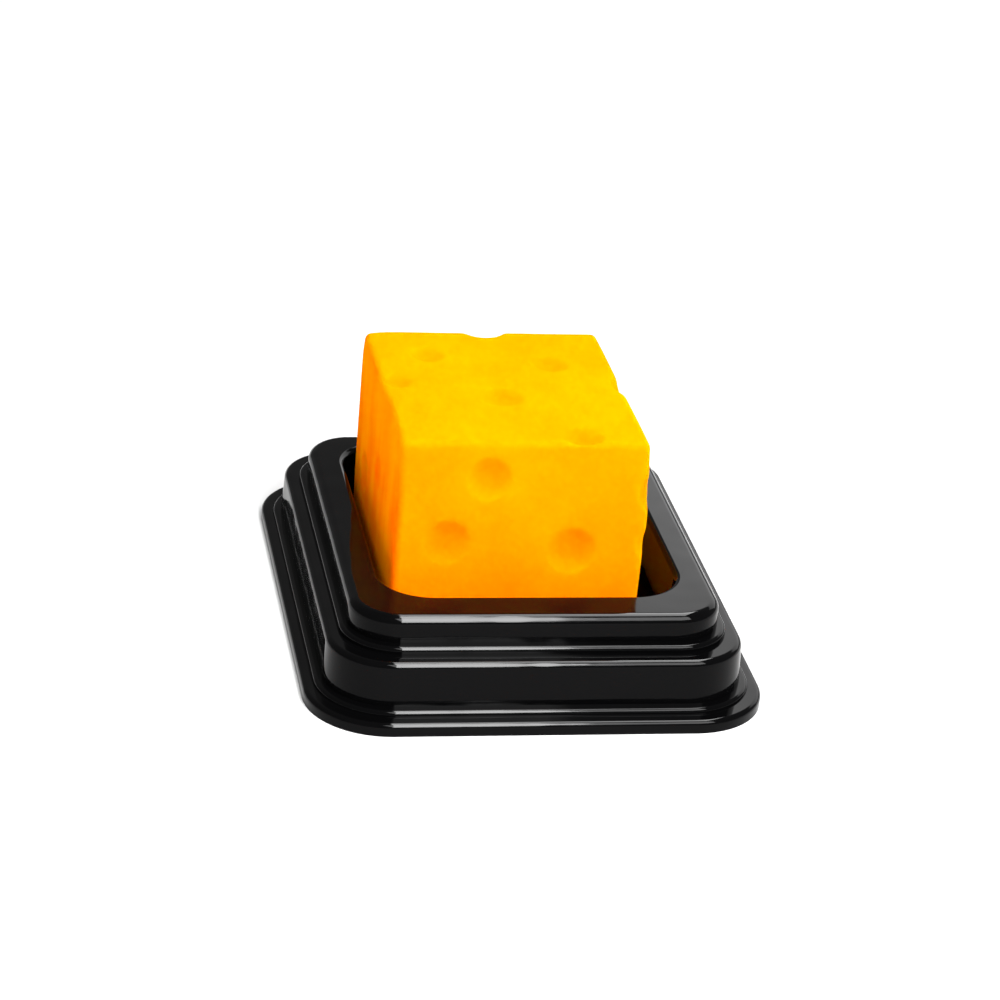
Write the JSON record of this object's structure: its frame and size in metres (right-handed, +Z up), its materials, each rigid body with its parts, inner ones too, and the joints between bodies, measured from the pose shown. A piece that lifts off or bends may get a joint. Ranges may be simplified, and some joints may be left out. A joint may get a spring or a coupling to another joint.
{
  "type": "cheese block on a tray",
  "caption": "Upright rectangular block of yellow semi-hard cheese with shallow round eyes, standing in the well of a glossy black stepped plastic serving tray.",
  "frame": {"origin": "under the middle of the tray, on the surface that it stands on", "axes": "+Z up, +X to the right across the narrower way of the tray, -Y towards the front, where the ledge beside the well is widest"},
  "size_m": [0.1, 0.122, 0.0528],
  "materials": {
    "tray_plastic": "glossy thermoformed black sheet",
    "cheese_paste": "smooth moist cheese paste, slightly translucent"
  },
  "bodies": {
    "root": {"tray": "tray_plastic", "cheese_block": "cheese_paste"}
  },
  "joints": []
}
